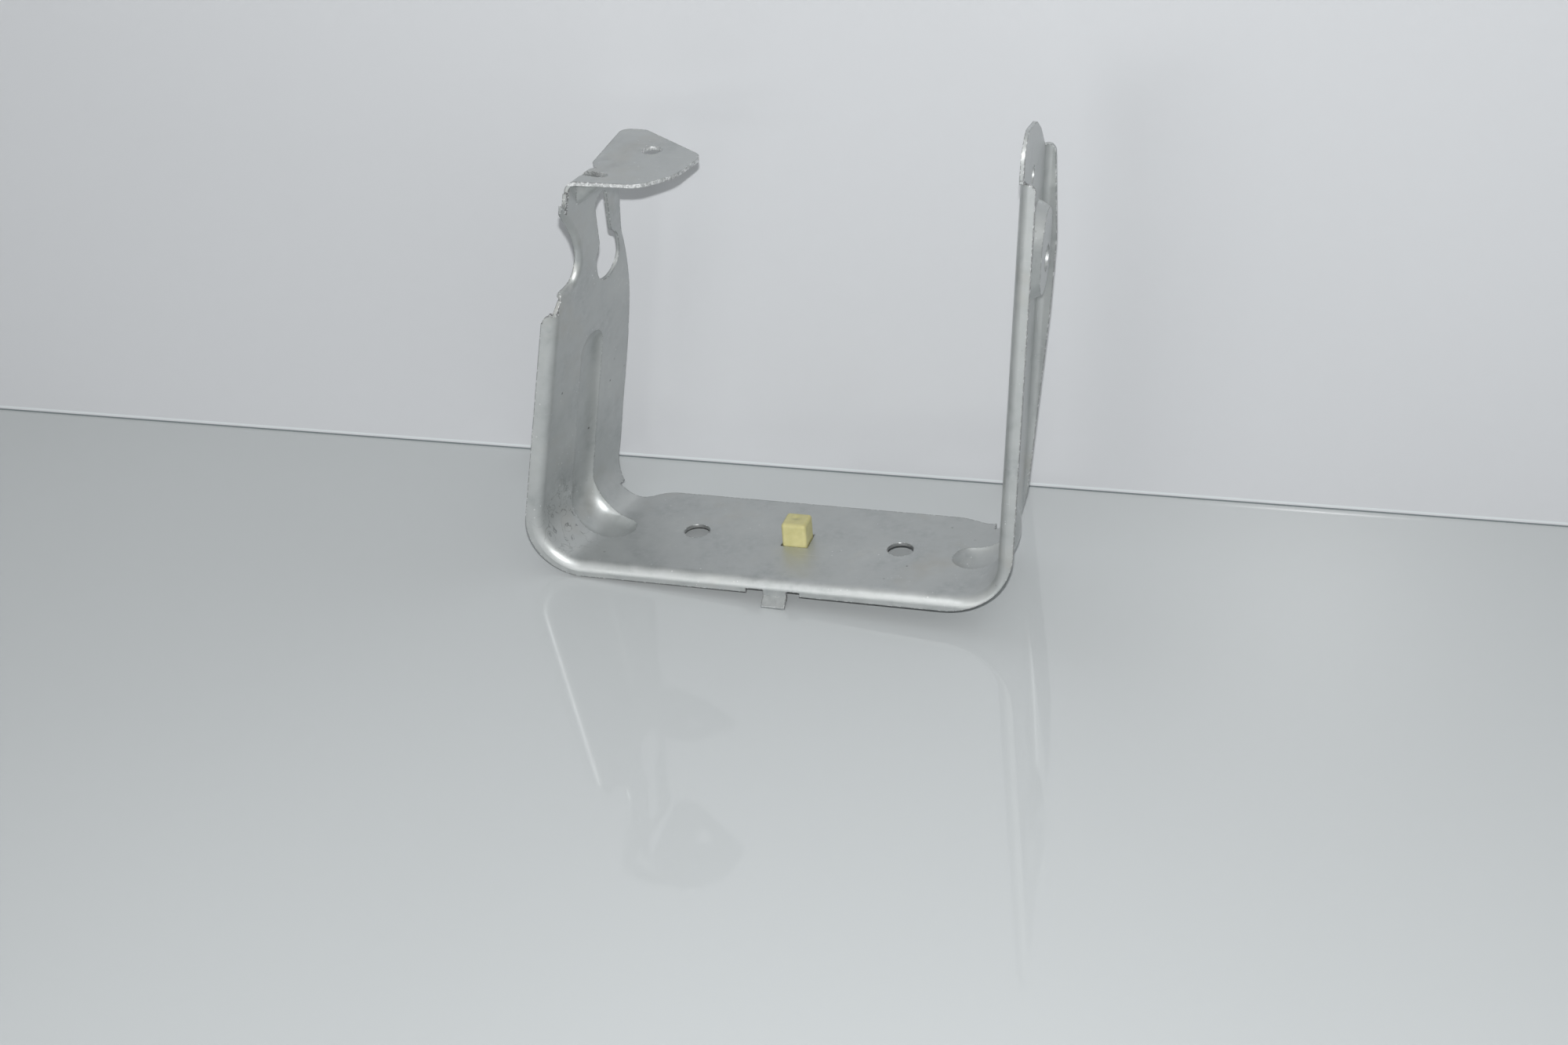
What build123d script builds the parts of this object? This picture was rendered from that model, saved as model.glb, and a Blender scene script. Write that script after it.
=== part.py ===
from build123d import *
import math
import os

os.makedirs("parts", exist_ok=True)

# Stamped U bracket with a nylon screw grommet, in millimetres.
# Origin: the middle of the base, on its top face. X runs to the right, Y to the back, Z up.

# --- Sheet -----------------------------------------------------------------------------------
sheet = 1.0  # thickness of the steel strip
bend_radius = 2.8  # convex radius of the edge flanges
corner_radius = 10.5  # inside radius where a leg meets the base
front_face = -22.0  # front face of the front flange
flange_reach = 4.1  # from the inside of the channel to the free edge of the flange
right_flange_ease = 9.0  # extra radius of the free edge at the right corner

# --- Base ------------------------------------------------------------------------------------
base_back = 19.5  # back edge of the base
base_full_half = 39.5  # half length over which the base has its full depth
relief_half = 51.0  # where the corner reliefs reach the corner bends
relief_back_left = 14.8
relief_back_right = 16.6
bolt_spacing = 57.0
bolt_hole_radius = 3.5
square_hole = 7.4

# --- Left leg --------------------------------------------------------------------------------
left_foot = -67.1  # inside face at the front flange, where it would meet the base
left_slope = 0.193  # inward lean, in mm for each mm of height
left_skew = 11.0  # degrees that the leg turns its back edge towards the middle
left_flange_top = 73.0
left_front_edge = -20.2  # plain front edge above the flange
left_flange_round = 2.0  # round at the top corner of the flange
left_back_edge = [  # the leg's back edge from the corner up to the shoulder, across and up
    (16.7, 0.0),
    (19.6, 9.0),
    (20.3, 25.0),
    (20.2, 43.0),
    (19.4, 59.0),
    (17.6, 70.0),
    (13.0, 83.0),
    (9.6, 95.0),
]
left_web_top = 105.0
neck_back = -7.0  # back end of the neck that carries the tab
scallop_top = 106.4
scallop_bottom = 78.2
scallop_reach = 12.5  # how far the scallop cuts into the leg
scallop_bend = 1.6
scallop_depth = 1.8
keyhole_eye = (5.4, 81.2)
keyhole_eye_radius = 5.6
keyhole_eye_length = 14.0
keyhole_slot_top = (-0.4, 99.4)
keyhole_slot_radius = 2.9

# --- Tab on top of the left leg --------------------------------------------------------------
tab_top = 110.5
tab_bend = 3.0  # outside radius of its bend
tab_left = -44.1
tab_back = 14.2
tab_back_run = 6.6  # length of its back edge
tab_front = -20.9
tab_nose = [(-17.4, -0.7), (-20.4, -13.4), (-27.5, -20.9)]
tab_hole = (-31.4, 1.0)
tab_hole_radius = 2.5
dart_at = -11.2  # place of the pressed dart along the bend
dart_radius = 2.4
dart_reach = 6.4  # how far the dart runs down the leg and along the tab

# --- Right leg -------------------------------------------------------------------------------
right_foot = 59.1
right_slope = 0.082  # outward lean
right_skew = -3.0
right_flange_top = 116.5
right_flange_round = 2.6
rear_face = 16.0  # back face of the rear flange
rear_flange_top = 112.0
rear_flange_edge = [  # free edge of the rear flange, from the corner up
    (53.0, -0.9),
    (57.6, 3.2),
    (60.2, 13.0),
    (67.3, 66.0),
    (69.4, 86.0),
]
rear_flange_end = 69.7  # where that edge meets the top of the flange
ear_front = -22.8
ear_shoulder = 124.5
ear_crown = [(-18.0, 128.8), (-5.0, 126.0), (3.0, 121.0)]
ear_back = 12.5
ear_hole = (-6.6, 112.8)
ear_hole_radius = 2.25
pad_centre = (4.2, 88.0)
pad_length = 25.0
pad_width = 18.0
pad_slope = 28.0  # taper of its sides, in degrees
pad_rise = 3.0
pad_hole = (6.3, 85.2)
pad_hole_radius = 3.5

# --- Beads -----------------------------------------------------------------------------------
bead_half_width = 6.4
bead_half_depth = 3.6
left_bead_turn = 6.0  # radius of the bead's centre line at the corner
right_bead_turn = 8.2
bead_inset = 1.8  # the section's centre lies this far inside the channel
left_bead_height = 53.5  # last centre of the bead, measured up the leg
right_bead_height = 10.5
left_bead_place = 0.4  # along the leg's width
right_bead_place = -0.6
left_bead_end = -51.0
right_bead_end = 48.6

# --- Locating hook ---------------------------------------------------------------------------
hook_left = -3.5
hook_right = 2.9
hook_drop = 6.3  # lowest edge of its front face below the base
hook_forward = 2.7
notch_left = -8.2
notch_right = 6.5
notch_top = -2.9

# --- Grommet ---------------------------------------------------------------------------------
shank_clearance = 0.25
grommet_height = 6.5
grommet_head = 12.0
grommet_head_thick = 1.4
grommet_screw_radius = 1.8
grommet_edge = 0.9

margin = 30.0  # how far the forming tools run past the sheet
tall = 150.0


# --- Planes of the two legs ------------------------------------------------------------------
def leg_plane(foot, slope, skew, out):
    """Inside face of a leg: x along its width to the back, y up the leg, z into the channel
    for the left leg (out = 1) and away from it for the right leg (out = 1 as well)."""
    turn = math.tan(math.radians(skew))
    normal = Vector(1, -turn, -slope)
    across = Vector(turn, 1, 0).normalized()
    start = Vector(foot - turn * front_face, 0, 0) + normal.normalized() * out
    return Plane(origin=start, x_dir=across, z_dir=normal)


left_inner = leg_plane(left_foot, left_slope, left_skew, 0)
right_inner = leg_plane(right_foot, right_slope, right_skew, 0)


# --- The forming tool: the sheet is what lies between two offsets of it ----------------------
def forming_tool(grow):
    """The inside of the channel, grown by the sheet thickness for the outside."""
    over = margin - grow
    left_face = leg_plane(left_foot, left_slope, left_skew, -grow)
    right_face = leg_plane(right_foot, right_slope, right_skew, grow)
    top = tab_top - sheet + grow
    with BuildPart() as tool:
        with BuildSketch(Plane.XZ.offset(-base_back - over)):
            with BuildLine():
                Polyline(
                    (-tall, -grow),
                    (tall, -grow),
                    (tall, tall + over),
                    (0, tall + over),
                    (0, top),
                    (-tall, top),
                    close=True,
                )
            make_face()
        extrude(amount=base_back + over - front_face + over)
        split(bisect_by=left_face, keep=Keep.TOP)
        split(bisect_by=right_face, keep=Keep.BOTTOM)
        low_left = Vector(left_face.origin.X, 0, -grow)
        low_right = Vector(right_face.origin.X, 0, -grow)
        high_left = Vector(left_face.origin.X + left_slope * top, 0, top)
        fillet(edges().sort_by_distance(low_left)[0], corner_radius + grow)
        fillet(edges().sort_by_distance(low_right)[0], corner_radius + grow)
        fillet(edges().sort_by_distance(high_left)[0], tab_bend - sheet + grow)
        with BuildSketch(Plane.XZ.offset(-front_face - grow)):
            with BuildLine():
                Polyline(
                    (-tall, -tall),
                    (tall, -tall),
                    (tall, right_flange_top + grow),
                    (0, right_flange_top + grow),
                    (0, left_flange_top + grow),
                    (-tall, left_flange_top + grow),
                    close=True,
                )
            make_face()
        extrude(amount=margin)
        with BuildSketch(Plane.XZ.offset(-rear_face + grow)):
            with BuildLine():
                Polyline(
                    (relief_half - grow, -margin),
                    (tall, -margin),
                    (tall, rear_flange_top + grow),
                    (relief_half - grow, rear_flange_top + grow),
                    close=True,
                )
            make_face()
        extrude(amount=-(base_back + over - rear_face + grow))
        seam_y = front_face + grow
        seams = [
            e
            for e in edges()
            if abs(e.bounding_box().min.Y - seam_y) < 1e-3
            and abs(e.bounding_box().max.Y - seam_y) < 1e-3
            and abs(e.center().X) < -left_foot + 2 * sheet
            and e.center().Z > -2 * sheet
        ]
        fillet(seams, bend_radius - grow)
        rear_y = rear_face - grow
        rear_seams = [
            e
            for e in edges()
            if abs(e.bounding_box().min.Y - rear_y) < 1e-3
            and abs(e.bounding_box().max.Y - rear_y) < 1e-3
            and relief_half < e.center().X < right_foot + right_slope * tall
            and -2 * sheet < e.center().Z < rear_flange_top - 1
        ]
        fillet(rear_seams, bend_radius - grow)
    return tool.part



# --- Outlines that trim the sheet ------------------------------------------------------------
def face_to_face(plane, front, back):
    """The plane moved back, and the depth that reaches the front."""
    return plane.offset(-back), front + back


def edge_trim():
    """Leaves the front flange with one reach all round the channel."""
    low = -flange_reach
    rise = tall + margin
    with BuildPart() as trim:
        with BuildSketch(Plane.XZ.offset(-front_face - bend_radius)):
            with BuildLine():
                outer_left = left_foot - flange_reach
                outer_right = right_foot + flange_reach
                FilletPolyline(
                    (outer_left + left_slope * rise, rise),
                    (outer_left + left_slope * low, low),
                    (outer_right + right_slope * low, low),
                    (outer_right + right_slope * rise, rise),
                    radius=[corner_radius + flange_reach, corner_radius + right_flange_ease],
                )
                Polyline(
                    (outer_right + right_slope * rise, rise),
                    (tall + margin, rise),
                    (tall + margin, -tall - margin),
                    (-tall - margin, -tall - margin),
                    (-tall - margin, rise),
                    (outer_left + left_slope * rise, rise),
                )
            make_face()
        extrude(amount=2 * margin)
        with BuildSketch(Plane.XZ.offset(-front_face)):
            Rectangle(tall + margin, 3 * tall, align=(Align.MAX, Align.CENTER))
            with Locations((0, right_flange_top + sheet + 0.02)):
                Rectangle(tall + margin, 2 * tall, align=(Align.MIN, Align.MAX))
        extrude(amount=2 * margin)
        rounds = (
            (left_foot, left_slope, left_flange_top, left_flange_round, -1),
            (right_foot, right_slope, right_flange_top, right_flange_round, 1),
        )
        with BuildSketch(Plane.XZ.offset(-front_face - 1.4 * sheet)):
            for foot, slope, top, size, side in rounds:
                edge = foot + side * flange_reach + slope * top
                with Locations((edge + side, top + 1)):
                    Rectangle(
                        size + 1,
                        size + 1,
                        align=(Align.MIN if side < 0 else Align.MAX, Align.MAX),
                    )
            for foot, slope, top, size, side in rounds:
                edge = foot + side * flange_reach + slope * top
                with Locations((edge - side * size, top - size)):
                    Circle(size, mode=Mode.SUBTRACT)
        extrude(amount=2 * margin)
        above = left_inner.offset(-sheet)
        with BuildSketch(above):
            with Locations((0, left_flange_top * math.hypot(1, left_slope) + 0.1)):
                Rectangle(3 * tall, margin, align=(Align.CENTER, Align.MIN))
        extrude(amount=-tall)
        above = right_inner.offset(sheet)
        with BuildSketch(above):
            with Locations((0, right_flange_top * math.hypot(1, right_slope) + 0.1)):
                Rectangle(3 * tall, margin, align=(Align.CENTER, Align.MIN))
        extrude(amount=tall)
    return trim.part


def base_back_trim():
    """The back edge of the base, which steps in towards both corners."""
    far = base_back + 2 * margin
    with BuildPart() as trim:
        with BuildSketch(Plane.XY.offset(-margin)):
            with BuildLine():
                Polyline(
                    (left_foot, far),
                    (left_foot, relief_back_left),
                    (-relief_half, relief_back_left),
                )
                Spline(
                    (-relief_half, relief_back_left),
                    (-relief_half + 6, relief_back_left + 3),
                    (-base_full_half, base_back),
                    tangents=[(1, 0.1), (1, 0)],
                )
                Line((-base_full_half, base_back), (base_full_half, base_back))
                Spline(
                    (base_full_half, base_back),
                    (base_full_half + 6.5, (base_back + relief_back_right) / 2),
                    (relief_half + 4, relief_back_right),
                    tangents=[(1, 0), (1, 0.1)],
                )
                Polyline(
                    (relief_half + 4, relief_back_right),
                    (right_foot + 6, relief_back_right),
                    (right_foot + 6, far),
                    (left_foot, far),
                )
            make_face()
        extrude(amount=margin + 4)
    return trim.part


def left_side_trim():
    """Side outline of the left leg: its back edge, its top, and its front edge above the flange."""
    plane, depth = face_to_face(left_inner, 3 * sheet, tall)
    back_plane, back_depth = face_to_face(left_inner, 0.75 * corner_radius, margin)
    high = tall + margin
    shoulder = left_back_edge[-1]
    joint = shoulder[1] - 0.1
    with BuildPart() as trim:
        with BuildSketch(back_plane):
            with BuildLine():
                Polyline((tall, -margin), (left_back_edge[0][0], -margin), left_back_edge[0])
                Spline(*left_back_edge, tangents=[(0.2, 1), (-0.2, 1)])
                Polyline(shoulder, (tall, shoulder[1]), (tall, -margin))
            make_face()
        extrude(amount=back_depth)
        with BuildSketch(plane):
            with BuildLine():
                FilletPolyline(
                    (neck_back, high),
                    (neck_back, left_web_top),
                    (shoulder[0] - 1.2, left_web_top - 1.5),
                    (shoulder[0], joint),
                    radius=3,
                )
                Polyline((shoulder[0], joint), (tall, joint), (tall, high), (neck_back, high))
            make_face()
        extrude(amount=depth)
        with BuildSketch(plane):
            step = left_flange_top * math.hypot(1, left_slope) + 0.3
            with BuildLine():
                Polyline(
                    (-tall, step),
                    (left_front_edge, step),
                    (left_front_edge + 2.6, scallop_bottom + 0.3),
                    (left_front_edge, scallop_bottom + 0.4),
                    (left_front_edge, high),
                    (-tall, high),
                    close=True,
                )
            make_face()
            with BuildLine():
                Spline(*scallop_edge())
                Polyline(
                    scallop_edge()[-1],
                    (left_front_edge - 2, scallop_bottom),
                    (left_front_edge - 2, scallop_top),
                    scallop_edge()[0],
                )
            make_face()
        extrude(amount=depth)
    return trim.part


def scallop_edge():
    """Where the flat of the leg ends round the scallop, from the top down."""
    high = scallop_top - scallop_bottom
    course = [
        (-0.03, 1.0),
        (0.26, 0.873),
        (0.59, 0.702),
        (0.86, 0.498),
        (1.0, 0.30),
        (0.96, 0.15),
        (0.78, 0.045),
        (0.5, 0.003),
        (0.22, 0.0),
    ]
    return [
        (left_front_edge + share * scallop_reach, scallop_bottom + up * high)
        for share, up in course
    ]


def scallop_flange():
    """A short flange drawn outward all round the scallop. It fades towards both ends."""
    inner = scallop_bend - sheet
    with BuildPart() as flange:
        with BuildLine(left_inner) as path:
            Spline(*scallop_edge())
        route = path.line
        out = left_inner.z_dir
        side = (route % 0).cross(out) * -1
        with BuildSketch(Plane(origin=route @ 0, x_dir=side, z_dir=route % 0)) as section:
            with BuildLine():
                RadiusArc((0, 0), (-scallop_bend, -scallop_bend), -scallop_bend)
                Polyline(
                    (-scallop_bend, -scallop_bend),
                    (-scallop_bend, -scallop_depth),
                    (-inner, -scallop_depth),
                    (-inner, -scallop_bend),
                )
                RadiusArc((-inner, -scallop_bend), (0, -sheet), inner)
                Polyline((0, -sheet), (0.4, -sheet), (0.4, 0), (0, 0))
            make_face()
        sweep(path=route)
        fade = Plane(origin=left_inner.origin, x_dir=left_inner.x_dir, z_dir=left_inner.y_dir)
        with BuildSketch(fade):
            with BuildLine():
                Polyline(
                    (left_front_edge + 5, scallop_depth + 0.1),
                    (left_front_edge - margin, scallop_depth + 0.1),
                    (left_front_edge - margin, -sheet),
                    (left_front_edge, -sheet),
                    (left_front_edge, sheet),
                    close=True,
                )
            make_face()
        extrude(amount=tall, mode=Mode.SUBTRACT)
    return flange.part


def tab_outline():
    """Plan of the tab: a rounded triangle on a neck at the front of the leg."""
    corner = (tab_left + 2.2, neck_back - 5)
    with BuildSketch(Plane.XY) as plan:
        with BuildLine():
            FilletPolyline(
                corner,
                (tab_left, neck_back - 1.6),
                (tab_left, tab_back),
                (tab_left + tab_back_run, tab_back),
                *tab_nose,
                (-margin + left_foot, tab_front - 1.5),
                radius=[3, 2.6, 3.5, 4.5, 9, 7],
            )
            Polyline((-margin + left_foot, tab_front - 1.5), (-margin + left_foot, corner[1]), corner)
        make_face()
    return plan.sketch.face()


def tab_trim():
    """Takes the top sheet away outside the plan of the tab."""
    with BuildPart() as trim:
        with BuildSketch(Plane.XY.offset(tab_top - tab_bend)):
            Rectangle(2 * tall, 2 * tall, align=(Align.MAX, Align.CENTER))
            add(tab_outline(), mode=Mode.SUBTRACT)
            with Locations((tab_left - 6, front_face + sheet)):
                Rectangle(tall, tall, align=(Align.MAX, Align.MIN), mode=Mode.SUBTRACT)
        extrude(amount=tab_bend + margin)
    return trim.part


def right_side_trim():
    """Side outline of the right leg above its flanges, with the ear in front."""
    plane, depth = face_to_face(right_inner, tall, 3 * sheet)
    step = right_flange_top * math.hypot(1, right_slope) + 0.1
    ear_foot = rear_flange_top * math.hypot(1, right_slope) + 0.2
    high = tall + 2 * margin
    with BuildPart() as trim:
        with BuildSketch(plane):
            with BuildLine():
                FilletPolyline(
                    (-tall, step),
                    (ear_front, step),
                    (ear_front, ear_shoulder),
                    *ear_crown,
                    (ear_back, ear_foot),
                    (tall, ear_foot),
                    radius=[0.4, 5, 5, 6, 6, 1.2],
                )
                Polyline((tall, ear_foot), (tall, high), (-tall, high), (-tall, step))
            make_face()
        extrude(amount=depth)
    return trim.part


def rear_flange_trim():
    """The rear flange widens upward from nothing at the corner bend."""
    with BuildPart() as trim:
        with BuildSketch(Plane.XZ.offset(-rear_face - 2 * margin)):
            with BuildLine():
                start = (rear_flange_edge[0][0], -margin)
                inner = (right_foot + 5, rear_flange_top)
                FilletPolyline(
                    start,
                    *rear_flange_edge,
                    (rear_flange_end, rear_flange_top),
                    inner,
                    radius=[1, 4, 20, 30, 60, 2.4],
                )
                Polyline(inner, (inner[0], tall), (tall, tall), (tall, -margin), start)
            make_face()
        extrude(amount=2 * margin + bend_radius + 0.2)
        with BuildSketch(Plane.XZ.offset(-rear_face - 2 * margin)):
            with Locations((relief_half, -sheet)):
                Rectangle(margin, 2 * margin, align=(Align.CENTER, Align.MAX))
        extrude(amount=2 * margin + bend_radius)
    return trim.part


# --- Features pressed into the sheet ---------------------------------------------------------
def bead_tool(foot, slope, skew, place, end, height, turn_radius, grow):
    """An elliptical rib that runs down a leg, round the corner and along the base."""
    side = 1 if foot < 0 else -1
    plane = leg_plane(foot, slope, skew, 0)
    turn = math.radians(skew)
    lean = slope * math.cos(turn) * side
    start = plane.origin + plane.x_dir * place
    course = Plane(origin=start, x_dir=(side * math.cos(turn), -side * math.sin(turn), 0),
                   z_dir=-plane.x_dir * side)
    half_width = bead_half_width + grow
    half_depth = bead_half_depth + grow
    stretch = math.hypot(1, lean)
    low = bead_inset
    wall = bead_inset * stretch
    top = height
    last = abs(start.X - end)
    with BuildPart() as tool:
        with BuildLine(course) as path:
            FilletPolyline(
                (wall + lean * top, top),
                (wall + lean * low, low),
                (last, low),
                radius=turn_radius,
            )
        route = path.line
        head = Plane(origin=route @ 0, x_dir=plane.x_dir, z_dir=route % 0)
        tail = Plane(origin=route @ 1, x_dir=plane.x_dir, z_dir=route % 1)
        with BuildSketch(head):
            Ellipse(half_width, half_depth)
        sweep(path=route)
        for at, way in ((head, -1), (tail, 1)):
            with BuildSketch(at):
                Ellipse(half_width, half_depth)
                Rectangle(3 * half_width, 3 * half_width, align=(Align.MIN, Align.CENTER),
                          mode=Mode.SUBTRACT)
            revolve(axis=Axis(at.origin, at.y_dir), revolution_arc=way * 180)
    return tool.part


def pad_tool(grow):
    """The raised pad on the right leg, with sloping sides."""
    with BuildPart() as tool:
        with BuildSketch(right_inner.offset(-0.01 - 2 * sheet * (1 - grow / sheet))):
            with Locations(pad_centre):
                SlotOverall(pad_length + 2 * grow, pad_width + 2 * grow, rotation=90)
        below = 0.01 + 2 * sheet * (1 - grow / sheet)
        extrude(amount=pad_rise + grow + below, taper=pad_slope)
    return tool.part


def dart_tool(grow):
    """A round-nosed wedge laid across the bend of the tab."""
    top = tab_top - sheet
    spot = left_inner.from_local_coords(Vector(dart_at, top * math.hypot(1, left_slope), 0))
    inward = left_inner.x_dir.cross(Vector(0, 0, 1)) * -1
    down = left_inner.y_dir * -1
    leg_end = spot + down * dart_reach
    tab_end = spot - inward * dart_reach
    along = (tab_end - leg_end).normalized()
    outward = (spot - (leg_end + tab_end) * 0.5).normalized()
    radius = dart_radius - grow
    start = leg_end - along * margin / 3 + outward * (dart_radius - 1.0)
    with BuildPart() as tool:
        with BuildSketch(Plane(origin=start, x_dir=left_inner.x_dir, z_dir=along)):
            Circle(radius)
            Rectangle(2 * radius, margin / 3, align=(Align.CENTER, Align.MIN))
        extrude(amount=(tab_end - leg_end).length + 2 * margin / 3)
    return tool.part


def locating_hook():
    """A narrow tongue below the front flange, kicked forward at its tip."""
    back = front_face + sheet
    with BuildPart() as hook:
        with BuildSketch(Plane.YZ.offset(hook_left)):
            with BuildLine():
                knee = -flange_reach - 0.5
                tip = front_face - hook_forward
                Polyline(
                    (front_face, notch_top),
                    (front_face, knee),
                    (tip, -hook_drop),
                    (tip + 0.55, -hook_drop - 0.85),
                    (back, knee - 0.75),
                    (back, notch_top),
                    close=True,
                )
            make_face()
        extrude(amount=hook_right - hook_left)
        fillet(edges().filter_by(Axis.X).group_by(SortBy.LENGTH)[-1].sort_by(Axis.Z)[0:2], 0.2)
    return hook.part


# --- The bracket -----------------------------------------------------------------------------
left_bead = (
    left_foot,
    left_slope,
    left_skew,
    left_bead_place,
    left_bead_end,
    left_bead_height,
    left_bead_turn,
)
right_bead = (
    right_foot,
    right_slope,
    right_skew,
    right_bead_place,
    right_bead_end,
    right_bead_height,
    right_bead_turn,
)

channel = forming_tool(0)
die = forming_tool(sheet)

with BuildPart() as bracket:
    add(die)
    for bead in (left_bead, right_bead):
        add(bead_tool(*bead, sheet))
    add(pad_tool(sheet))
    add(channel, mode=Mode.SUBTRACT)
    for bead in (left_bead, right_bead):
        add(bead_tool(*bead, 0), mode=Mode.SUBTRACT)
    add(pad_tool(0), mode=Mode.SUBTRACT)
    for trim in (
        edge_trim(),
        base_back_trim(),
        left_side_trim(),
        tab_trim(),
        right_side_trim(),
        rear_flange_trim(),
    ):
        add(trim, mode=Mode.SUBTRACT)
        add(scallop_flange())
    with BuildSketch(Plane.XY.offset(tab_top - sheet)):
        add(tab_outline())
        with Locations((tab_left + 3.6, 0)):
            Rectangle(tall, tall, align=(Align.MAX, Align.CENTER), mode=Mode.SUBTRACT)
        with Locations((tab_left, neck_back - 5)):
            Rectangle(margin, margin, align=(Align.MIN, Align.MIN))
        add(tab_outline(), mode=Mode.INTERSECT)
    extrude(amount=sheet)
    add(dart_tool(0).intersect(die))
    add(dart_tool(sheet), mode=Mode.SUBTRACT)
    # Square hole and bolt holes in the base.
    with BuildSketch(Plane.XY.offset(-margin)):
        Rectangle(square_hole, square_hole)
        with GridLocations(bolt_spacing, 1, 2, 1):
            Circle(bolt_hole_radius)
    extrude(amount=margin + 2 * sheet, mode=Mode.SUBTRACT)
    # Hole in the tab, the keyhole in the left leg and the two holes of the right leg.
    with BuildSketch(Plane.XY.offset(tab_top - 2 * sheet)):
        with Locations(tab_hole):
            Circle(tab_hole_radius)
    extrude(amount=margin, mode=Mode.SUBTRACT)
    with BuildSketch(left_inner.offset(-2 * sheet)) as keyhole:
        middle = (Vector(*keyhole_eye) + Vector(*keyhole_slot_top)) * 0.5
        slot = Vector(*keyhole_slot_top) - Vector(*keyhole_eye)
        tilt = math.degrees(math.atan2(slot.Y, slot.X))
        with Locations(keyhole_eye):
            SlotOverall(keyhole_eye_length, 2 * keyhole_eye_radius, rotation=tilt)
        with Locations(middle):
            SlotCenterToCenter(slot.length, 2 * keyhole_slot_radius, rotation=tilt)
        eye = Vector(*keyhole_eye, 0)
        waist = [
            v
            for v in keyhole.vertices()
            if keyhole_eye_radius + 0.5 < (Vector(v.X, v.Y, 0) - eye).length < keyhole_eye_length
        ]
        fillet(waist, keyhole_slot_radius)
    extrude(amount=4 * sheet, mode=Mode.SUBTRACT)
    with BuildSketch(right_inner.offset(-2 * sheet)):
        with Locations(ear_hole):
            Circle(ear_hole_radius)
        with Locations(pad_hole):
            Circle(pad_hole_radius)
    extrude(amount=margin / 3, mode=Mode.SUBTRACT)
    # Relief notches in the flange, and the hook between them.
    with BuildSketch(Plane.XZ.offset(-front_face - bend_radius)):
        with Locations(((notch_left + notch_right) / 2, notch_top)):
            Rectangle(notch_right - notch_left, margin, align=(Align.CENTER, Align.MAX))
    extrude(amount=margin, mode=Mode.SUBTRACT)
    add(locating_hook())

bracket.part.label = "bracket"
export_step(bracket.part, "parts/bracket.step")

# --- The grommet -----------------------------------------------------------------------------
shank = square_hole - 2 * shank_clearance

with BuildPart() as screw_grommet:
    with BuildSketch(Plane.XY.offset(-sheet - grommet_head_thick)):
        RectangleRounded(grommet_head, grommet_head, 1.5)
    extrude(amount=grommet_head_thick)
    chamfer(faces().sort_by(Axis.Z)[0].edges(), 0.4)
    with BuildSketch(Plane.XY.offset(-sheet)):
        RectangleRounded(shank, shank, grommet_edge)
    extrude(amount=sheet + grommet_height)
    fillet(faces().sort_by(Axis.Z)[-1].edges(), grommet_edge)
    with BuildSketch(Plane.XY.offset(-sheet - grommet_head_thick)):
        Circle(grommet_screw_radius)
    extrude(amount=grommet_head_thick + sheet + grommet_height - 1.6, mode=Mode.SUBTRACT)

screw_grommet.part.label = "screw_grommet"
export_step(screw_grommet.part, "parts/screw_grommet.step")
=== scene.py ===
"""The bracket's scene: the photograph's camera, two materials, floor and wall, and the light.

Lengths are metres, as in the frame. The materials' colours are written as sRGB values of 0 to 255.
"""

import math

import bpy
from mathutils import Matrix, Vector

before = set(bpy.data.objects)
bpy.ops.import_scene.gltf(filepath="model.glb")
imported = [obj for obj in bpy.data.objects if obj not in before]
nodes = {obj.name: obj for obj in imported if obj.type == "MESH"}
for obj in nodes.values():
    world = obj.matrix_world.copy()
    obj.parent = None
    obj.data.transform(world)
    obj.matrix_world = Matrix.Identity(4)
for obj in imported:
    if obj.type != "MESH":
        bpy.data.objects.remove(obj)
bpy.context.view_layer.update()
scene = bpy.context.scene

# ---------------------------------------------------------------- camera
AZIMUTH, ELEVATION, ROLL = (math.radians(degrees) for degrees in (18.72, 29.67, -4.41))
DISTANCE = 0.7593  # depth of the part's origin in front of the lens
FOCAL = 3600.0  # focal length in pixels of the photograph
IMAGE_WIDTH, IMAGE_HEIGHT = 2000.0, 1333.0
ORIGIN_RIGHT, ORIGIN_BELOW = 17.7, 22.4  # pixels from the image's middle to the part's origin
SENSOR = 36.0  # millimetres
NEAREST, FARTHEST = 0.01, 20.0

back = Vector(
    (
        math.sin(AZIMUTH) * math.cos(ELEVATION),
        -math.cos(AZIMUTH) * math.cos(ELEVATION),
        math.sin(ELEVATION),
    )
)
level = Vector((math.cos(AZIMUTH), math.sin(AZIMUTH), 0.0))
upright = back.cross(level)
right = level * math.cos(ROLL) + upright * math.sin(ROLL)
up = upright * math.cos(ROLL) - level * math.sin(ROLL)
pixel = DISTANCE / FOCAL  # size of a pixel at the part's origin
eye = back * DISTANCE - right * ORIGIN_RIGHT * pixel + up * ORIGIN_BELOW * pixel


def axes(x, y, z, place):
    """World matrix with the given axes and place."""
    matrix = Matrix((x, y, z)).transposed().to_4x4()
    matrix.translation = place
    return matrix


camera = bpy.data.objects.new("camera", bpy.data.cameras.new("camera"))
scene.collection.objects.link(camera)
camera.data.sensor_width = SENSOR
camera.data.sensor_fit = "HORIZONTAL"
camera.data.lens = FOCAL / IMAGE_WIDTH * SENSOR
camera.data.clip_start = NEAREST
camera.data.clip_end = FARTHEST
camera.matrix_world = axes(right, up, back, eye)
scene.camera = camera


# ---------------------------------------------------------------- shader helpers
def linear(*srgb):
    """An sRGB colour of 0 to 255 as Blender's linear colour."""
    unit = [channel / 255.0 for channel in srgb]
    return tuple(c / 12.92 if c <= 0.04045 else ((c + 0.055) / 1.055) ** 2.4 for c in unit)


def fill(node, values):
    """Set sockets of a node by their names."""
    for name, value in values.items():
        node.inputs[name].default_value = value


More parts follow.
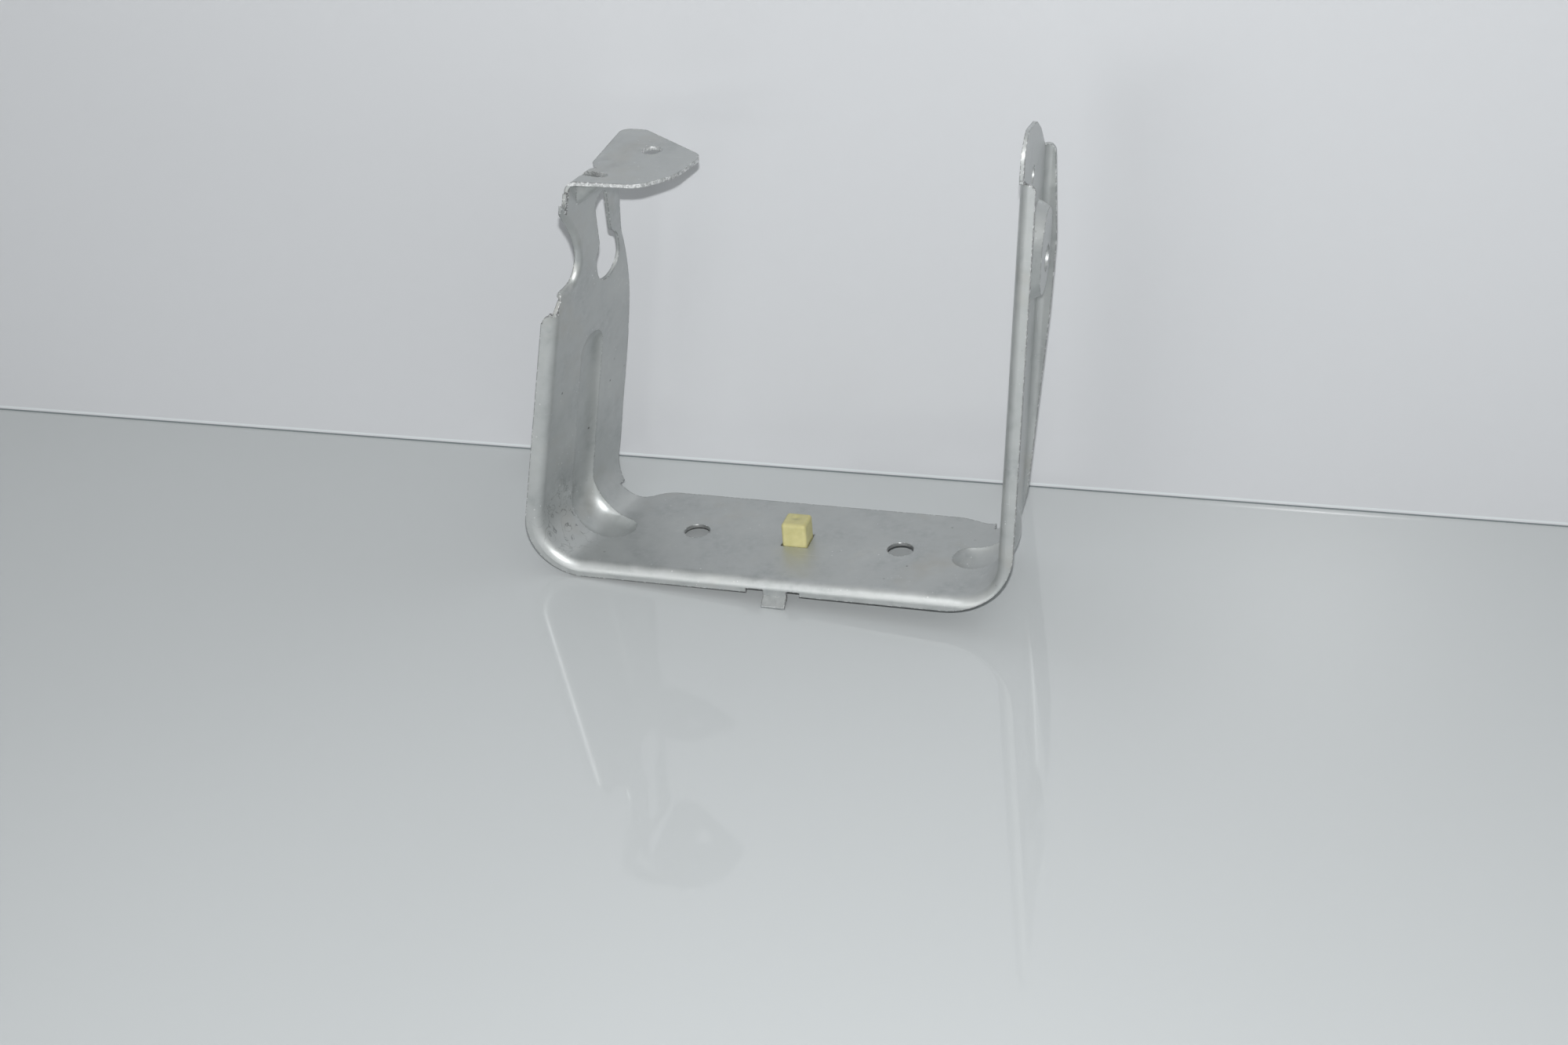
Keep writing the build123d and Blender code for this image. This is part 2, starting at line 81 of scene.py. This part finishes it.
class Shader:
    """A material's node tree with short calls to add and join nodes."""

    def __init__(self, name):
        self.material = bpy.data.materials.new(name)
        self.material.use_nodes = True
        self.tree = self.material.node_tree
        self.bsdf = self.tree.nodes["Principled BSDF"]
        self.output = self.tree.nodes["Material Output"]
        self.place = self.add("ShaderNodeTexCoord").outputs["Object"]
        self.geometry = self.add("ShaderNodeNewGeometry")

    def add(self, kind, **settings):
        node = self.tree.nodes.new(kind)
        for key, value in settings.items():
            setattr(node, key, value)
        return node

    def join(self, source, target):
        self.tree.links.new(source, target)

    def put(self, value, target):
        """Set a socket to a number or colour, or join another socket to it."""
        if isinstance(value, (int, float, tuple)):
            target.default_value = value
        else:
            self.join(value, target)

    # numbers
    def math(self, operation, a, b=None):
        node = self.add("ShaderNodeMath", operation=operation)
        self.put(a, node.inputs[0])
        if b is not None:
            self.put(b, node.inputs[1])
        return node.outputs["Value"]

    def plus(self, a, b):
        return self.math("ADD", a, b)

    def minus(self, a, b):
        return self.math("SUBTRACT", a, b)

    def times(self, a, b):
        return self.math("MULTIPLY", a, b)

    def ramp(self, value, low, high, first=0.0, last=1.0, kind="LINEAR"):
        """From first at the low value to last at the high one, and level beyond them."""
        node = self.add("ShaderNodeMapRange", interpolation_type=kind)
        self.join(value, node.inputs["Value"])
        fill(node, {"From Min": low, "From Max": high, "To Min": first, "To Max": last})
        return node.outputs["Result"]

    def within(self, value, low, high):
        """1 between two values, 0 outside."""
        return self.times(
            self.math("GREATER_THAN", value, low), self.math("LESS_THAN", value, high)
        )

    # patterns
    def stretched(self, scale):
        """The place on the part, scaled by itself along each axis."""
        node = self.add("ShaderNodeMapping")
        self.join(self.place, node.inputs["Vector"])
        node.inputs["Scale"].default_value = scale
        return node.outputs["Vector"]

    def noise(self, scale, detail=2.0, roughness=0.5, distortion=0.0, place=None):
        node = self.add("ShaderNodeTexNoise")
        self.join(place or self.place, node.inputs["Vector"])
        fill(
            node,
            {"Scale": scale, "Detail": detail, "Roughness": roughness, "Distortion": distortion},
        )
        return node.outputs["Fac"]

    def patches(self, scale, low, high):
        """1 inside scattered patches with soft edges, 0 between them."""
        return self.ramp(self.noise(scale), low, high)

    def specks(self, scale, size, soft):
        """1 inside small round specks, scattered, 0 elsewhere."""
        cells = self.add("ShaderNodeTexVoronoi")
        self.join(self.place, cells.inputs["Vector"])
        cells.inputs["Scale"].default_value = scale
        return self.ramp(cells.outputs["Distance"], size, size + soft, 1.0, 0.0)

    def distance(self, centre):
        """How far the surface lies from a point."""
        node = self.add("ShaderNodeVectorMath", operation="DISTANCE")
        self.join(self.place, node.inputs[0])
        node.inputs[1].default_value = centre
        return node.outputs["Value"]

    def dent(self, centre, radius):
        """1 at the middle of a round dent, falling smoothly to 0 at its rim."""
        return self.ramp(self.distance(centre), 0.0, radius, 1.0, 0.0, "SMOOTHSTEP")

    def rounded(self, radius, samples):
        """The surface's direction as if its edges had this radius."""
        node = self.add("ShaderNodeBevel", samples=samples)
        node.inputs["Radius"].default_value = radius
        return node.outputs["Normal"]

    def edges(self, normal, low, high):
        """1 at edges, where the rounded direction leaves the surface's own, and 0 on plain faces."""
        node = self.add("ShaderNodeVectorMath", operation="DOT_PRODUCT")
        self.join(normal, node.inputs[0])
        self.join(self.geometry.outputs["Normal"], node.inputs[1])
        return self.ramp(node.outputs["Value"], low, high, 1.0, 0.0)

    def split(self, vector):
        """The X, Y and Z of a vector."""
        node = self.add("ShaderNodeSeparateXYZ")
        self.join(vector, node.inputs[0])
        return node.outputs

    # colours and surface
    def mix(self, share, a, b):
        node = self.add("ShaderNodeMix", data_type="RGBA")
        self.put(share, node.inputs["Factor"])
        for colour, socket in ((a, node.inputs["A"]), (b, node.inputs["B"])):
            self.put(colour + (1.0,) if isinstance(colour, tuple) else colour, socket)
        return node.outputs["Result"]

    def layer(self, below, mask, share, colour):
        """A colour laid over the one below, at a share of the mask."""
        return self.mix(self.times(mask, share), below, colour)

    def bump(self, height, normal, strength, distance):
        node = self.add("ShaderNodeBump")
        fill(node, {"Strength": strength, "Distance": distance})
        self.join(height, node.inputs["Height"])
        self.join(normal, node.inputs["Normal"])
        return node.outputs["Normal"]

    def finish(self, **sockets):
        """Join the last nodes to the surface's sockets, such as base_color."""
        for name, source in sockets.items():
            self.join(source, self.bsdf.inputs[name.replace("_", " ").title()])


# ---------------------------------------------------------------- zinc coated steel
ZINC_DARK, ZINC_PALE = linear(166, 170, 170), linear(187, 190, 189)
ZINC_MOTTLE = linear(184, 187, 187)
DULLED = linear(174, 171, 163)
SPECK = linear(84, 84, 84)
SCRATCH = linear(226, 228, 230)
SPANGLE = linear(240, 241, 240)
# painted shade: the colour that darkens the creases
CREASE_SHADE = linear(96, 98, 98)
# painted highlight: the pale colour laid on the steel's edges
EDGE_HIGHLIGHT = linear(238, 240, 241)
# painted shade and painted glints: the dark strip along every edge and crease, flecked bright
STRIP_SHADE, STRIP_GLINT = linear(92, 94, 94), linear(238, 239, 239)
TORN_DARK, TORN_BURR = linear(112, 112, 110), linear(235, 236, 236)
# painted highlight: the bright flecks on the tab's cut rim
RIM_DARK, RIM_GLINT = linear(170, 172, 172), linear(240, 241, 241)

# the first radius rounds the edges, where a painted highlight is laid; the second is the width of
# the strip of painted shade along edges
EDGE_ROUNDING, EDGE_SHADE_RADIUS = 0.00022, 0.0006  # radius round an edge that each one takes up
STEEL_EDGE_SAMPLES = 6
CREASED_CORNER = (-0.061, -0.012, 0.009)
CREASES_FULL, CREASES_END = 0.007, 0.013  # distances from that corner
FLANGE_EDGE_Y = (-0.0223, -0.0208)  # the front flange's sheared edge
TAB_EDGE_Z = (0.1094, 0.1106)  # the tab's sheared rim, on the part's left half
EDGE_FACING = (-0.35, 0.35)  # how far a sheared edge faces across the sheet
DENTS = (  # centre, radius and depth in the bump, in the tab and below it
    ((-0.0425, -0.0048, 0.1105), 0.0030, 80.0),
    ((-0.0385, -0.0088, 0.1105), 0.0026, 70.0),
    ((-0.0474, -0.0125, 0.1035), 0.0028, 50.0),
)


def scratch_mask(steel):
    """Fine scratches up the legs and along the base, in patches."""
    lengthwise = steel.stretched((2300.0, 2300.0, 45.0))
    crosswise = steel.stretched((60.0, 1900.0, 2100.0))
    lines = [
        steel.ramp(steel.noise(1.0, 1.0, 0.4, bend, place), 0.72, 0.78)
        for place, bend in ((lengthwise, 0.3), (crosswise, 0.4))
    ]
    return steel.times(steel.math("MAXIMUM", *lines), steel.patches(55.0, 0.5, 0.65))


def crease_mask(steel):
    """The creases that the press left in the lower left corner: pressed in by the bump, and darkened
    in the colour as painted shade.
    """
    wave = steel.noise(210.0, distortion=1.6)
    from_line = steel.math("ABSOLUTE", steel.minus(wave, 0.5))
    return steel.times(
        steel.ramp(from_line, 0.004, 0.022, 1.0, 0.0),
        steel.ramp(steel.distance(CREASED_CORNER), CREASES_FULL, CREASES_END, 1.0, 0.0),
    )


def sheared(steel, below):
    """Dark torn metal with bright burrs along the front flange, and round the tab a sheared rim
    flecked with painted highlight.
    """
    spot = steel.split(steel.place)
    facing = steel.split(steel.geometry.outputs["True Normal"])
    flange_edge = steel.times(
        steel.within(spot["Y"], *FLANGE_EDGE_Y), steel.within(facing["Y"], *EDGE_FACING)
    )
    tab_edge = steel.times(
        steel.within(spot["Z"], *TAB_EDGE_Z),
        steel.times(
            steel.within(facing["Z"], *EDGE_FACING), steel.math("LESS_THAN", spot["X"], 0.0)
        ),
    )
    burrs = steel.noise(1400.0, roughness=0.7)
    torn = steel.mix(steel.ramp(burrs, 0.5, 0.62), TORN_DARK, TORN_BURR)
    # painted highlight: the tab's cut rim flecked bright, as light catches it
    rim_with_glints = steel.mix(steel.ramp(burrs, 0.4, 0.6), RIM_DARK, RIM_GLINT)
    return steel.layer(steel.layer(below, flange_edge, 0.85, torn), tab_edge, 0.7, rim_with_glints)


def zinc_steel():
    """Pressed steel sheet with its zinc coat, dulled, specked and scratched, with painted highlight
    on its edges and painted shade along edges and in creases.
    """
    steel = Shader("zinc_steel")
    cloud = steel.noise(70.0, detail=4.0, roughness=0.6)  # patches of about 10 mm
    mottle = steel.noise(420.0, detail=3.0, roughness=0.65)  # 1 to 2 mm
    grain = steel.noise(2600.0, roughness=0.6)
    handled = steel.noise(38.0, detail=3.0, roughness=0.7)
    fleck = steel.noise(1100.0, roughness=0.75)
    highlight_patches = steel.ramp(steel.noise(600.0, roughness=0.6), 0.3, 0.6, 0.25, 1.0)
    speck = steel.times(steel.specks(250.0, 0.06, 0.05), steel.patches(90.0, 0.56, 0.64))
    spangle = steel.times(steel.specks(620.0, 0.10, 0.05), steel.patches(120.0, 0.56, 0.66))
    scratch = scratch_mask(steel)
    crease = crease_mask(steel)
    edge_normal = steel.rounded(EDGE_ROUNDING, STEEL_EDGE_SAMPLES)
    # painted highlight: edges lightened in patches, as if light caught them
    edge_highlight = steel.times(steel.edges(edge_normal, 0.80, 0.99), highlight_patches)
    # painted shade along every edge and in concave creases, with bright flecks of painted glint
    edge_shade_strip = steel.edges(steel.rounded(EDGE_SHADE_RADIUS, STEEL_EDGE_SAMPLES), 0.90, 0.985)

    colour = steel.mix(steel.ramp(cloud, 0.35, 0.65), ZINC_DARK, ZINC_PALE)
    colour = steel.mix(steel.ramp(mottle, 0.35, 0.7), colour, ZINC_MOTTLE)
    colour = steel.mix(steel.ramp(handled, 0.58, 0.76, 0.0, 0.5), colour, DULLED)
    for mask, share, over in (
        (speck, 0.75, SPECK),
        (scratch, 0.5, SCRATCH),
        (spangle, 0.6, SPANGLE),
        # painted shade in the creases
        (crease, 0.55, CREASE_SHADE),
        # painted highlight on the edges
        (edge_highlight, 0.8, EDGE_HIGHLIGHT),
        # painted shade along edges, flecked with painted glints
        (edge_shade_strip, 0.65, steel.mix(steel.ramp(fleck, 0.52, 0.64), STRIP_SHADE, STRIP_GLINT)),
    ):
        colour = steel.layer(colour, mask, share, over)

    rough = steel.plus(
        steel.ramp(cloud, 0.3, 0.7, 0.42, 0.54), steel.ramp(mottle, 0.3, 0.7, -0.05, 0.05)
    )
    for mask, smoother in ((scratch, 0.12), (edge_highlight, 0.15)):
        rough = steel.minus(rough, steel.times(mask, smoother))

    relief = steel.plus(steel.times(grain, 0.35), steel.minus(mottle, steel.times(speck, 0.6)))
    relief = steel.minus(relief, steel.times(scratch, 0.25))
    relief = steel.minus(relief, crease)
    for centre, radius, depth in DENTS:
        relief = steel.minus(relief, steel.times(steel.dent(centre, radius), depth))

    fill(
        steel.bsdf,
        {"Metallic": 0.76, "Coat Weight": 0.35, "Coat Roughness": 0.28, "Coat IOR": 1.7},
    )
    steel.finish(
        base_color=sheared(steel, colour),
        roughness=rough,
        normal=steel.bump(relief, edge_normal, strength=0.22, distance=0.00006),
    )
    return steel


# ---------------------------------------------------------------- nylon
NYLON_DARK, NYLON_PALE = linear(188, 182, 128), linear(204, 198, 146)
NYLON_EDGE, NYLON_EDGE_SAMPLES = 0.0009, 4
DIMPLE, DIMPLE_RADIUS, DIMPLE_DEPTH = (-0.0002, 0.0006, 0.0065), 0.0015, 60.0


def natural_nylon():
    """Moulded nylon, undyed, with soft edges and the dimple in its top."""
    nylon = Shader("nylon")
    shade = nylon.noise(260.0, detail=3.0, roughness=0.6)
    fine = nylon.noise(1500.0, detail=3.0, roughness=0.6)
    relief = nylon.minus(fine, nylon.times(nylon.dent(DIMPLE, DIMPLE_RADIUS), DIMPLE_DEPTH))
    soft_normal = nylon.rounded(NYLON_EDGE, NYLON_EDGE_SAMPLES)
    fill(
        nylon.bsdf,
        {
            "Subsurface Weight": 0.25,
            "Subsurface Radius": (0.002, 0.0016, 0.0008),
            "Subsurface Scale": 0.6,
        },
    )
    nylon.finish(
        base_color=nylon.mix(nylon.ramp(shade, 0.3, 0.7), NYLON_DARK, NYLON_PALE),
        roughness=nylon.ramp(fine, 0.3, 0.7, 0.38, 0.52),
        normal=nylon.bump(relief, soft_normal, strength=0.25, distance=0.00005),
    )
    return nylon


for name, shader in (("bracket", zinc_steel()), ("screw_grommet", natural_nylon())):
    node = nodes[name]
    node.data.materials.clear()
    node.data.materials.append(shader.material)

# ---------------------------------------------------------------- floor and wall
FLOOR_UP = Vector((0.046, -0.068, 1.0)).normalized()
FOOT_LEFT, FOOT_RIGHT = (0.0, 522.0), (2000.0, 672.0)  # the wall's foot in the photograph, pixels
HALF = 2.5  # half of the floor's side, and the wall's height
JOINT_AHEAD = 0.0002  # from the wall to the joint's strips, so that they show
# painted shadow: the dark strip in the joint between floor and wall
GAP_BOTTOM, GAP_TOP = 0.0, 0.0005  # heights over the floor
# the wall's foot has a thin lip; its pale colour is painted highlight along the edge
LIP_BOTTOM, LIP_TOP = 0.0009, 0.0015
TONE_SCALE, TONE_SPREAD = 3.0, 0.03  # the plastic's slow change of tone
FLOOR_COLOUR, FLOOR_ROUGHNESS = linear(196, 200, 201), 0.035
WALL_COLOUR, WALL_ROUGHNESS = linear(203, 205, 208), 0.30
GAP_SHADOW, GAP_ROUGHNESS = linear(120, 128, 130), 0.3
# painted highlight: the lip's pale colour
LIP_HIGHLIGHT, LIP_ROUGHNESS = linear(218, 223, 225), 0.2

lowest = min(FLOOR_UP.dot(v.co) for node in nodes.values() for v in node.data.vertices)


def on_floor(u, v):
    """The floor's point that the camera sees at a pixel of the photograph."""
    ray = right * (u - IMAGE_WIDTH / 2) - up * (v - IMAGE_HEIGHT / 2) - back * FOCAL
    reach = (lowest - FLOOR_UP.dot(eye)) / FLOOR_UP.dot(ray)
    return eye + ray * reach


foot_left, foot_right = on_floor(*FOOT_LEFT), on_floor(*FOOT_RIGHT)
foot = (foot_left + foot_right) / 2
along = (foot_right - foot_left).normalized()
away = FLOOR_UP.cross(along).normalized()
if away.dot(back) > 0:
    away = -away


def plastic(name, colour, roughness):
    """Pale glossy sheet. It is clear from behind, so that it hides the part in no view."""
    shader = Shader(name)
    tone = shader.ramp(shader.noise(TONE_SCALE), 0.3, 0.7)
    dark = tuple(c * (1.0 - TONE_SPREAD) for c in colour)
    pale = tuple(min(1.0, c * (1.0 + TONE_SPREAD)) for c in colour)
    shader.finish(base_color=shader.mix(tone, dark, pale))
    shader.bsdf.inputs["Roughness"].default_value = roughness
    clear = shader.add("ShaderNodeBsdfTransparent")
    choice = shader.add("ShaderNodeMixShader")
    for source, target in zip(
        (shader.geometry.outputs["Backfacing"], shader.bsdf.outputs[0], clear.outputs[0]),
        choice.inputs,
    ):
        shader.join(source, target)
    shader.join(choice.outputs[0], shader.output.inputs["Surface"])
    return shader


def sheet(name, start, rise, shader):
    """A flat sheet along the wall, from the start's line over the given rise."""
    side = along * HALF
    corners = (start - side, start + side, start + side + rise, start - side + rise)
    mesh = bpy.data.meshes.new(name)
    mesh.from_pydata([tuple(corner) for corner in corners], [], [(0, 1, 2, 3)])
    plate = bpy.data.objects.new(name, mesh)
    scene.collection.objects.link(plate)
    mesh.materials.append(shader.material)


floor_plastic = plastic("floor_plastic", FLOOR_COLOUR, FLOOR_ROUGHNESS)
wall_plastic = plastic("wall_plastic", WALL_COLOUR, WALL_ROUGHNESS)
joint_shadow = plastic("joint_shadow", GAP_SHADOW, GAP_ROUGHNESS)
joint_lip_highlight = plastic("joint_lip_highlight", LIP_HIGHLIGHT, LIP_ROUGHNESS)
# the floor runs on behind the wall, for the views from behind
sheet("floor", foot - away * HALF, away * HALF * 2, floor_plastic)
sheet("wall", foot, FLOOR_UP * HALF, wall_plastic)
for name, bottom, top, shader in (
    # painted shadow in the joint
    ("joint_gap", GAP_BOTTOM, GAP_TOP, joint_shadow),
    # the lip, painted bright as a highlight
    ("joint_lip_highlight", LIP_BOTTOM, LIP_TOP, joint_lip_highlight),
):
    sheet(name, foot - away * JOINT_AHEAD + FLOOR_UP * bottom, FLOOR_UP * (top - bottom), shader)

# ---------------------------------------------------------------- light
MIDDLE = Vector((0.0, 0.0, 0.06))  # what every lamp is aimed at
FLASH_OVER_LENS = 0.034
LAMPS = (  # name, place, width and height, watts
    ("flash", eye + up * FLASH_OVER_LENS, (0.010, 0.008), 3.8),
    ("overhead", MIDDLE + Vector((0.35, -0.45, 1.0)), (0.9, 0.9), 0.6),
    ("low_front", Vector((-0.30, -0.95, 0.10)), (0.5, 0.25), 1.15),
)
ROOM_COLOUR = (0.98, 0.99, 0.98, 1.0)
ROOM_LIGHT, ROOM_SEEN = 0.22, 0.7  # the light it gives, and how bright it looks


def lamp(name, place, size, power):
    data = bpy.data.lights.new(name, "AREA")
    data.shape = "RECTANGLE"
    data.size, data.size_y = size
    data.energy = power
    light = bpy.data.objects.new(name, data)
    scene.collection.objects.link(light)
    look = (place - MIDDLE).normalized()
    side = Vector((0, 0, 1)).cross(look).normalized()
    light.matrix_world = axes(side, look.cross(side), look, place)


for values in LAMPS:
    lamp(*values)

# a pale room where it is seen, straight or in a shiny face, and a dimmer one for the light it gives
world = bpy.data.worlds.new("studio")
scene.world = world
world.use_nodes = True
world_nodes, world_links = world.node_tree.nodes, world.node_tree.links
background = world_nodes["Background"]
background.inputs["Color"].default_value = ROOM_COLOUR
rays = world_nodes.new("ShaderNodeLightPath").outputs
seen = rays["Is Camera Ray"]
for name in ("Is Glossy Ray", "Is Transmission Ray"):
    total = world_nodes.new("ShaderNodeMath")
    total.operation = "ADD"
    total.use_clamp = True
    world_links.new(seen, total.inputs[0])
    world_links.new(rays[name], total.inputs[1])
    seen = total.outputs[0]
strength = world_nodes.new("ShaderNodeMapRange")
fill(strength, {"To Min": ROOM_LIGHT, "To Max": ROOM_SEEN})
world_links.new(seen, strength.inputs["Value"])
world_links.new(strength.outputs["Result"], background.inputs["Strength"])

scene.view_settings.view_transform = "Standard"
